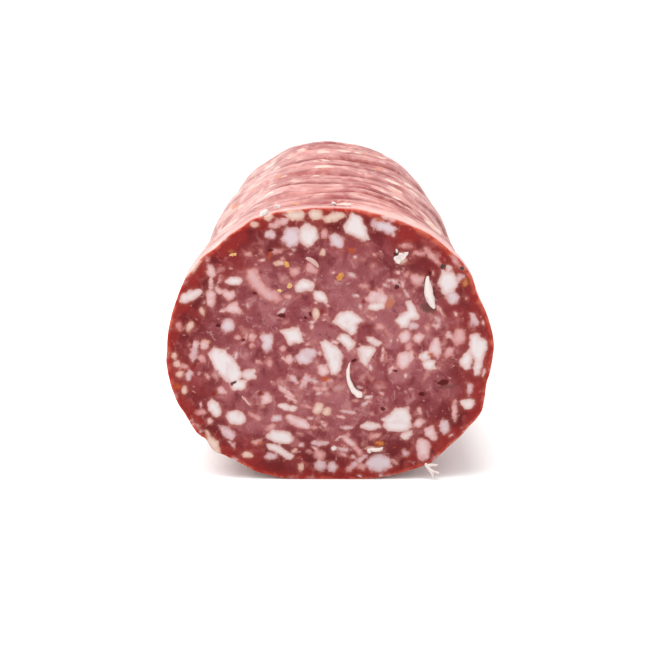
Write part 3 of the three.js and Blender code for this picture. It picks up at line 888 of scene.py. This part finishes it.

# The ridges are painted pale, partly a dry bloom and partly painted highlight; the pleats and creases are
# painted deep red as painted shade.
bloom_and_highlight_share = add_node(tree, "MapRange", {"Value": crease, "From Min": 0.54, "From Max": 0.72,
                                          "To Max": 0.5}, interpolation_type="SMOOTHSTEP")
skin = add_node(tree, "Mix", {"Factor": bloom_and_highlight_share, "A": skin, "B": linear("#cbaca6")},
                data_type="RGBA")
# Painted light: the flanks either side of the top are painted paler, for the white room's light at grazing
# angles, broken into patches by the mottle.
flank = add_node(tree, "SeparateXYZ", {"Vector": place}, give="X")
flank = add_node(tree, "Math", {0: flank, 1: 7 * MM}, operation="SUBTRACT")
flank = add_node(tree, "Math", {0: flank}, operation="ABSOLUTE")
flank_light_share = add_node(tree, "MapRange", {"Value": flank, "From Min": 12 * MM, "From Max": 30 * MM,
                                          "To Max": 0.45}, interpolation_type="SMOOTHSTEP")
flank_patch = add_node(tree, "MapRange", {"Value": mottle, "From Min": 0.35, "From Max": 0.6,
                                          "To Min": 0.45, "To Max": 1.0})
flank_light_share = add_node(tree, "Math", {0: flank_light_share, 1: flank_patch}, operation="MULTIPLY")
skin = add_node(tree, "Mix", {"Factor": flank_light_share, "A": skin, "B": linear("#c9b0ab")},
                data_type="RGBA")
# Painted shade: the creases of the fine wrinkle pattern are darkened to deep red.
crease_shade_share = add_node(tree, "MapRange", {"Value": crease, "From Min": 0.46, "From Max": 0.34,
                                           "To Max": 0.4}, interpolation_type="SMOOTHSTEP")
skin = add_node(tree, "Mix", {"Factor": crease_shade_share, "A": skin, "B": linear("#7e2725")},
                data_type="RGBA")
# Painted shade: the pleats' troughs are darkened to deep red, broken up by the mottle.
pleat_shade_share = add_node(tree, "MapRange", {"Value": attr["pleat"], "From Min": 0.1, "From Max": 0.7,
                                          "To Max": 0.93}, interpolation_type="SMOOTHSTEP")
pleat_broken = add_node(tree, "MapRange", {"Value": mottle, "From Min": 0.4, "From Max": 0.62,
                                           "To Min": 1.0, "To Max": 0.55})
pleat_shade_share = add_node(tree, "Math", {0: pleat_shade_share, 1: pleat_broken}, operation="MULTIPLY")
skin = add_node(tree, "Mix", {"Factor": pleat_shade_share, "A": skin, "B": linear("#74231f")},
                data_type="RGBA")
oil = add_node(tree, "TexVoronoi", {"Vector": bent, "Scale": per_mm(9)})
oil_share = add_node(tree, "MapRange", {"Value": oil, "From Min": 0.13, "From Max": 0.05, "To Max": 0.7},
                     interpolation_type="SMOOTHSTEP")
skin = add_node(tree, "Mix", {"Factor": oil_share, "A": skin, "B": linear("#c07a4a")},
                data_type="RGBA")
rim_fat = add_node(tree, "MapRange", {"Value": attr["fat_inside"], "From Min": -0.2, "From Max": 0.5,
                                      "To Max": 0.9}, interpolation_type="SMOOTHSTEP")
skin = add_node(tree, "Mix", {"Factor": rim_fat, "A": skin, "B": attr["fat_colour"]}, data_type="RGBA")
lip_reach = add_node(tree, "MapRange", {"Value": broad, "From Min": 0.35, "From Max": 0.65,
                                        "To Min": 2.0, "To Max": 9.0})
lip_share = add_node(tree, "MapRange", {"Value": attr["from_rim"], "From Min": lip_reach,
                                        "From Max": 1.5, "To Max": 0.6}, interpolation_type="SMOOTHSTEP")
skin = add_node(tree, "Mix", {"Factor": lip_share, "A": skin, "B": linear("#cca8a1")},
                data_type="RGBA")
# Painted glow: along the rim, where no fat reaches it, a red-orange colour stands in for light coming
# through the thin edge.
glow_reach = add_node(tree, "MapRange", {"Value": mottle, "From Min": 0.35, "From Max": 0.65,
                                         "To Min": 0.5, "To Max": 2.2})
glow_share = add_node(tree, "MapRange", {"Value": attr["from_rim"], "From Min": glow_reach,
                                         "From Max": 0.1, "To Max": 0.7}, interpolation_type="SMOOTHSTEP")
bare = add_node(tree, "Math", {0: rim_fat, 1: -0.9, 2: 1.0}, operation="MULTIPLY_ADD")
glow_share = add_node(tree, "Math", {0: glow_share, 1: bare}, operation="MULTIPLY")
skin = add_node(tree, "Mix", {"Factor": glow_share, "A": skin, "B": linear("#a8402f")},
                data_type="RGBA")
roughness = add_node(tree, "MapRange", {"Value": mottle, "From Min": 0.3, "From Max": 0.7,
                                        "To Min": 0.38, "To Max": 0.6})
height = add_node(tree, "Math", {0: fine, 1: 0.3, 2: crease}, operation="MULTIPLY_ADD")
bump = add_node(tree, "Bump", {"Height": height, "Strength": 0.8, "Distance": 1.0 * MM})
rind_shader = add_node(tree, "BsdfPrincipled", {
    "Base Color": skin, "Roughness": roughness, "Normal": bump, "IOR": 1.44,
    "Subsurface Weight": 0.2, "Subsurface Radius": (1.0, 0.4, 0.3), "Subsurface Scale": 1.2 * MM,
    "Specular IOR Level": 0.25,
    "Sheen Weight": 0.12, "Sheen Roughness": 0.35, "Sheen Tint": linear("#ffe9e4"),
})
add_node(tree, "OutputMaterial", {"Surface": rind_shader})

mesh.materials.append(cut_salami)
mesh.materials.append(rind)
mesh.polygons.foreach_set("material_index", np.where(is_cut, 0, 1).astype(np.int32))
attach(sausage, "root")
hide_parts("sausage")

# ---------------------------------------------------------------------------------------------
# Shreds of fat and sinew: soft threads the knife pulled out of the cut instead of slicing them.
# Each is a tapering round strand, uneven along its length, lying on the cut face with its foot in
# the meat; one hangs free from the lower edge.
# ---------------------------------------------------------------------------------------------
SHREDS = {  # path as (x, z, proud of the face, thickness), all in mm
    "sinew_curl": [(4.7, 25.8, -0.1, 0.2), (4.35, 24.6, 0.0, 0.5), (4.2, 23.2, 0.1, 0.8),
                   (4.45, 21.6, 0.2, 1.0), (5, 20.2, 0.3, 1.1), (5.8, 19.1, 0.45, 1.3),
                   (6.7, 18.5, 0.5, 1.7), (7.3, 18.6, 0.4, 1.2)],
    "fat_sliver": [(21.1, 44.3, 0.0, 0.5), (21, 42.8, 0.3, 1.3), (21.3, 41, 0.5, 2.0),
                   (21.7, 39.3, 0.5, 1.9),
                   (22.2, 38.1, 0.3, 1.1), (22.6, 37.4, 0.1, 0.4)],
    "edge_shred": [(21.1, 3.2, -0.6, 0.7), (21.6, 2.5, 0.1, 0.95), (22.2, 1.7, 0.5, 0.95),
                   (22.8, 1, 0.7, 0.8),
                   (22.8, 0.35, 0.8, 0.4)],
    "edge_shred_fork": [(22.1, 1.9, 0.5, 0.6), (23, 1.45, 0.8, 0.75), (24, 1.1, 1.0, 0.45)],
    "edge_shred_stub": [(21.5, 2.7, 0.2, 0.6), (22.6, 2.85, 0.5, 0.75), (23.8, 3.0, 0.7, 0.4)],
    "torn_fat": [(9.2, 5.6, 0.0, 0.5), (8.6, 5.9, 0.2, 0.6), (9, 6.4, 0.3, 0.7), (10.2, 6.2, 0.35, 0.8),
                 (11.4, 6.3, 0.3, 0.7), (11.8, 6.8, 0.1, 0.4)],
    "fat_wisp": [(-4.7, 48.2, -0.2, 0.5), (-4, 47.9, -0.1, 0.9), (-3.1, 47.4, -0.1, 1.1),
                 (-2.4, 46.7, -0.1, 0.9), (-1.9, 45.9, -0.2, 0.4)],
    "torn_sinew": [(-18.6, 18.1, -0.1, 0.3), (-18, 17.4, -0.05, 0.5), (-17.4, 16.7, -0.05, 0.5),
                   (-16.9, 16.1, -0.1, 0.3)],
    "pale_thread": [(4.6, 9.2, -0.1, 0.2), (3.4, 9.1, 0.0, 0.4), (2, 8.8, 0.0, 0.35),
                    (1.5, 8.3, -0.1, 0.2)],
}
SHRED_SKEW = 0.16 * MM

# Hard back fat: waxy, smooth and slightly see-through.
waxy_back_fat, tree = new_material("waxy_back_fat")
place = add_node(tree, "TexCoord", {}, give="Object")
cloudy = add_node(tree, "TexNoise", {"Vector": place, "Scale": per_mm(0.9), "Detail": 3.0})
wax = add_node(tree, "Mix", {"Factor": cloudy, "A": linear("#c5b0aa"), "B": linear("#d3cbc8")},
               data_type="RGBA")
bump = add_node(tree, "Bump", {"Height": cloudy, "Strength": 0.5, "Distance": 0.15 * MM})
wax_shader = add_node(tree, "BsdfPrincipled", {
    "Base Color": wax, "Roughness": 0.42, "Normal": bump, "IOR": 1.44,
    "Subsurface Weight": 0.3, "Subsurface Radius": (1.0, 0.6, 0.5), "Subsurface Scale": 0.6 * MM,
})
add_node(tree, "OutputMaterial", {"Surface": wax_shader})


# Thin membrane, matt and stained by the meat round it.
pink_sinew, tree = new_material("pink_sinew")
sinew_shader = add_node(tree, "BsdfPrincipled", {"Base Color": linear("#b58d88"), "Roughness": 0.5})
add_node(tree, "OutputMaterial", {"Surface": sinew_shader})
MEMBRANES = ("fat_wisp", "torn_sinew", "pale_thread")


def roughen(piece, depth, size):
    """Moves a piece's points by smooth noise, as the piece isn't regular."""
    for vertex in piece.data.vertices:
        where = vertex.co / size
        vertex.co += depth * Vector((noise.noise(where), noise.noise(where + Vector((9, 3, 1))),
                                     noise.noise(where + Vector((2, 8, 5)))))


for name, path in SHREDS.items():
    bpy.ops.object.select_all(action="DESELECT")
    bpy.ops.curve.primitive_nurbs_path_add(location=(0, 0, 0))
    shred = bpy.context.object
    shred.name = name
    shred.data.splines.clear()
    spline = shred.data.splines.new("NURBS")
    spline.points.add(len(path) - 1)
    spline.order_u = 3
    spline.use_endpoint_u = True
    for point, (x, z, proud, thickness) in zip(spline.points, path):
        point.co = (FACE_ZERO_X + x * MM, FACE_Y - proud * MM, (z + FACE_ZERO_Z) * MM, 1)
        point.radius = thickness / 2
    shred.data.dimensions = "3D"
    shred.data.resolution_u = 6
    shred.data.bevel_depth = 1 * MM
    shred.data.bevel_resolution = 3
    shred.data.use_fill_caps = True
    bpy.ops.object.convert(target="MESH")
    shred = bpy.context.object
    roughen(shred, SHRED_SKEW, 1.1 * MM)
    bpy.ops.object.shade_smooth()
    shred.data.materials.append(pink_sinew if name in MEMBRANES else waxy_back_fat)
    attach(shred, "root")

# ---------------------------------------------------------------------------------------------
# Crumbs of fat: small torn lumps that sit on the cut and on the rind just behind its edge. Each
# is a rough ball pressed out of round, about half sunk in what it sits on.
# ---------------------------------------------------------------------------------------------
CRUMBS = {  # x, z, behind the face, length, breadth, turn in degrees, all else in mm
    "torn_grain": (15.3, 48.3, 0.0, 2.6, 2.2, 60), "torn_grain_corner": (16.4, 49.1, -0.1, 1.1, 0.9, 20),
    "torn_grain_tip": (14.5, 49.6, 0.0, 1.0, 0.6, 100), "white_fleck": (1.3, 6.5, 0.0, 1.3, 0.9, 30),
    "rind_crumb_left": (-10.8, 59.0, 1.5, 1.3, 0.9, 10),
    "rind_crumb_middle": (1.1, 59.3, 3.0, 1.1, 1.0, 0),
    "rind_crumb_right": (4.5, 59.1, 2.6, 0.6, 0.5, 0),
    "left_edge_crumb": (-13.4, 57.6, 0.8, 1.9, 1.5, 30),
}


def lump(name, x, z, behind_face, length, breadth, turn, rough):
    """A rough, flattened ball, named and placed by face millimetres."""
    bpy.ops.object.select_all(action="DESELECT")
    bpy.ops.mesh.primitive_ico_sphere_add(subdivisions=4, radius=0.5, location=(0, 0, 0))
    ball = bpy.context.object
    ball.name = name
    ball.scale = (length * MM, 0.6 * breadth * MM, breadth * MM)
    ball.rotation_euler = (0, -math.radians(turn), 0)
    ball.location = (FACE_ZERO_X + x * MM, FACE_Y + behind_face * MM, (z + FACE_ZERO_Z) * MM)
    bpy.ops.object.transform_apply(location=True, rotation=True, scale=True)
    roughen(ball, rough * breadth * MM, 0.45 * breadth * MM)
    bpy.ops.object.shade_smooth()
    return ball


for name, (x, z, behind_face, length, breadth, turn) in CRUMBS.items():
    crumb = lump(name, x, z, behind_face, length, breadth, turn, 0.34)
    crumb.data.materials.append(waxy_back_fat)
    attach(crumb, "root")

# ---------------------------------------------------------------------------------------------
# Spice: broken mustard and chilli seeds, paprika flakes and two cracked peppercorns, pressed into
# the meat and cut or left proud by the knife. Each is a hard, slightly faceted lump.
# ---------------------------------------------------------------------------------------------
SEEDS = {  # name: (x, z, length, breadth, turn, colour)
    "chilli_seed": (2.5, 44.1, 1.9, 1.5, 60, "#c07f2c"),
    "chilli_seed_half": (29.1, 42.9, 1.4, 1.1, 80, "#a8652c"),
    "mustard_seed_left": (-20.2, 48.9, 1.7, 0.8, 10, "#d2b070"),
    "mustard_seed_ring": (-8.8, 46.9, 1.5, 0.95, 110, "#cc9a44"),
    "mustard_seed_low": (-10.3, 41.2, 1.6, 0.8, 5, "#d3b67c"),
    "mustard_seed_side": (-8.2, 42.2, 1.3, 1.1, 40, "#d0b278"),
    "paprika_flake": (11.2, 7.6, 2.1, 1.0, -5, "#b06a22"),
    "paprika_flake_small": (14.4, 6.7, 1.0, 0.6, 30, "#8a2a14"),
    "peppercorn_half": (24.3, 46.4, 1.3, 0.9, 30, "#15140c"),
    "peppercorn_chip": (28.3, 46, 0.9, 0.7, -20, "#1b1a10"),
}


def hard_shell(name, code):
    """The dull, hard skin of a seed in one colour, a little darker in its pits."""
    shell, tree = new_material(name)
    place = add_node(tree, "TexCoord", {}, give="Object")
    pits = add_node(tree, "TexNoise", {"Vector": place, "Scale": per_mm(0.5), "Detail": 3.0})
    shade = add_node(tree, "Mix", {"Factor": 1.0, "A": linear(code), "B": linear("#d0a088")},
                     data_type="RGBA", blend_type="MULTIPLY")
    tone = add_node(tree, "Mix", {"Factor": pits, "A": shade, "B": linear(code)}, data_type="RGBA")
    bump = add_node(tree, "Bump", {"Height": pits, "Strength": 0.6, "Distance": 0.1 * MM})
    gloss = add_node(tree, "BsdfPrincipled", {"Base Color": tone, "Roughness": 0.45, "Normal": bump})
    add_node(tree, "OutputMaterial", {"Surface": gloss})
    return shell


for name, (x, z, length, breadth, turn, code) in SEEDS.items():
    seed = lump(name, x, z, 0.1, length, breadth, turn, 0.2)
    seed.data.materials.append(hard_shell(name.split("_")[0] + "_" + code[1:], code))
    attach(seed, "root")
